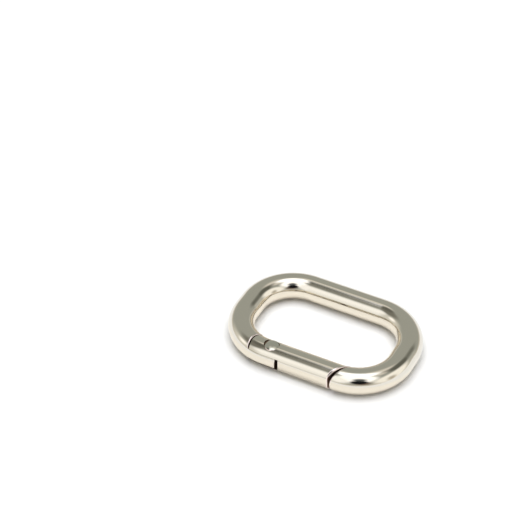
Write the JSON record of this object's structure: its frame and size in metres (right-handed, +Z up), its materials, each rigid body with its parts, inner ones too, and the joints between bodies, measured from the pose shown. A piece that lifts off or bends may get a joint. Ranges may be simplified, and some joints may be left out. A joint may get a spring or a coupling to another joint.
{
  "type": "oval spring gate ring",
  "caption": "Oval ring of polished round bar with a sprung gate in one long side that swings inward on a riveted hinge to clip onto straps, eyes and other rings.",
  "frame": {"origin": "on the surface that the ring lies on, under the middle of its loop", "axes": "+X along the loop from the hinge towards the nose, +Y from the gate towards the closed side, +Z up through the loop"},
  "size_m": [0.0352, 0.0238, 0.0048],
  "materials": {
    "nickel_plate": "bright nickel plate on die-cast zinc, polished",
    "rivet_steel": "nickel-plated steel rivet, domed and polished",
    "plunger_steel": "bright steel",
    "spring_wire": "drawn spring wire"
  },
  "bodies": {
    "ring": {"ring_body": "nickel_plate"},
    "gate": {"gate": "nickel_plate", "hinge_pin": "rivet_steel", "spring": "spring_wire"},
    "plunger": {"plunger": "plunger_steel"}
  },
  "joints": [
    {"name": "gate_hinge", "type": "hinge", "parent": "ring", "child": "gate", "pos_m": [-0.0059, -0.00945, 0.0024], "axis": [0, 0, 1], "range_deg": [0, 30], "stiffness_Nm_per_rad": 0.004, "springref_deg": -57.3},
    {"name": "plunger_slide", "type": "slide", "parent": "gate", "child": "plunger", "axis": [1, 0, 0], "range_m": [0, 0.00042], "deforming": ["spring"]}
  ],
  "couplings": [
    {"joint": "plunger_slide", "follows": "gate_hinge", "m_per_rad": 0.0008}
  ]
}
